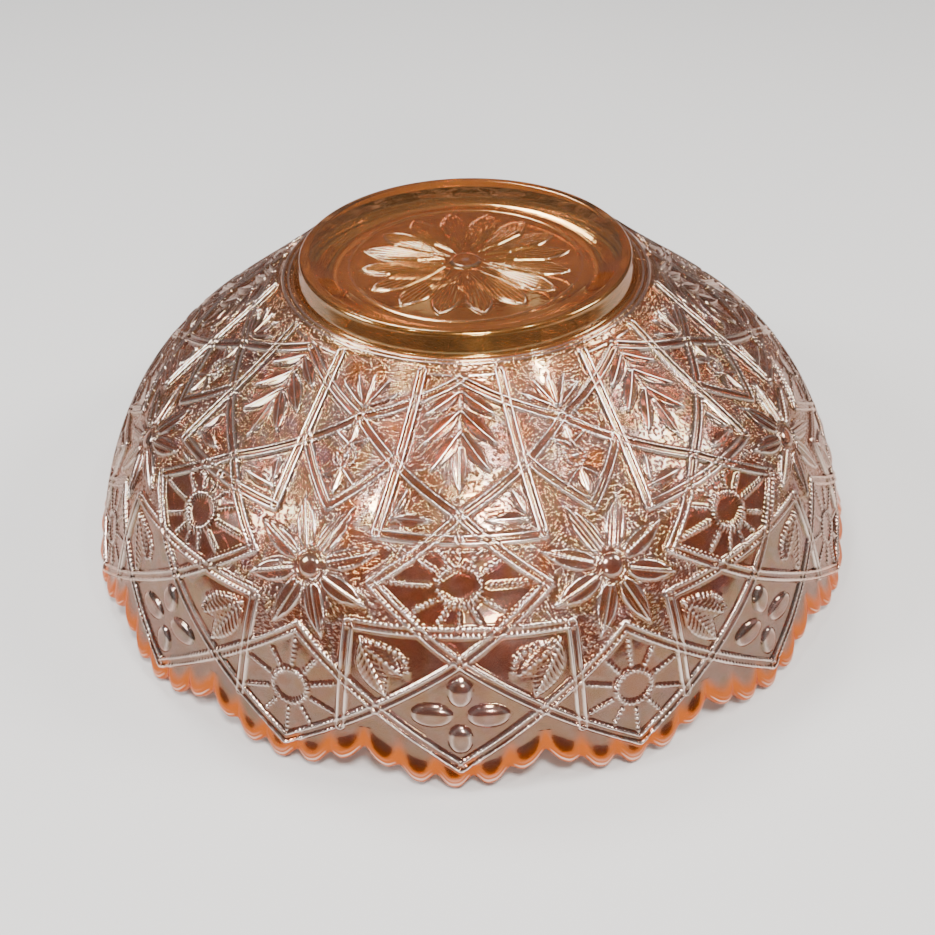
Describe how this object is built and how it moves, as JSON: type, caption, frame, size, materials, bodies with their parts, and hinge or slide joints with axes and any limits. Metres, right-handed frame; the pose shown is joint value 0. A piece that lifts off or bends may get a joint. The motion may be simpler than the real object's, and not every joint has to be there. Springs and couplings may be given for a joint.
{
  "type": "pressed glass bowl",
  "caption": "Round footed bowl in iridescent pressed glass with an all-over raised pattern and a scalloped saw-tooth rim, stored upside down on its rim.",
  "frame": {"origin": "on the bowl's axis, at the level of the longest teeth of the rim, which is the surface the upside-down bowl stands on", "axes": "+Z along the bowl's axis, from the mouth up to the foot ring, because the bowl is stored upside down as it is shown; in use +Z points down. The middle tooth of one scallop lies on the -Y axis"},
  "size_m": [0.216, 0.216, 0.0814],
  "materials": {
    "amber_foot": "clear amber pressed glass with a thin iridescent film",
    "patterned_glass": "marigold pressed glass with a silvery, pink and yellow-green iridescent film over raised pattern",
    "rim_glass": "marigold pressed glass, fire-polished, deeper orange at the teeth"
  },
  "bodies": {
    "root": {"foot_ring": "amber_foot", "base_disc": "amber_foot", "shoulder_collar": "patterned_glass", "flower_band": "patterned_glass", "diamond_band": "patterned_glass", "sawtooth_rim": "rim_glass"}
  },
  "joints": []
}
